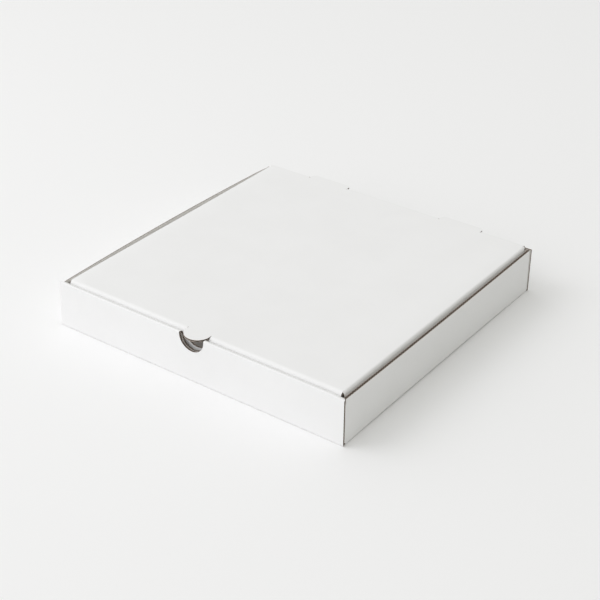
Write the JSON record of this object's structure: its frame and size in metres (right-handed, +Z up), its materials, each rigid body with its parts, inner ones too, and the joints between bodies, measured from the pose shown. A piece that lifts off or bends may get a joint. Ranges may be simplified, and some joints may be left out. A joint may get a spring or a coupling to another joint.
{
  "type": "pizza box",
  "caption": "Shallow square folding box of white corrugated board, with a rolled front wall, a thumb notch and a lid hinged at the back fold.",
  "frame": {"origin": "middle of the tray's underside, on the surface that the box stands on", "axes": "+X to the right along the front wall, +Y from the front to the back fold, +Z up"},
  "size_m": [0.305, 0.3148, 0.045],
  "materials": {
    "white_board": "matt white outer liner",
    "pale_inside": "matt off-white inner liner",
    "brown_fluting": "greyish brown fluted sheet, bare at the cut edges"
  },
  "bodies": {
    "tray": {"tray": "white_board"},
    "lid": {"lid": "white_board"}
  },
  "joints": [
    {"name": "lid_hinge", "type": "hinge", "parent": "tray", "child": "lid", "pos_m": [0, 0.1516, 0.0441], "axis": [-1, 0, 0], "range_deg": [0, 180]}
  ]
}
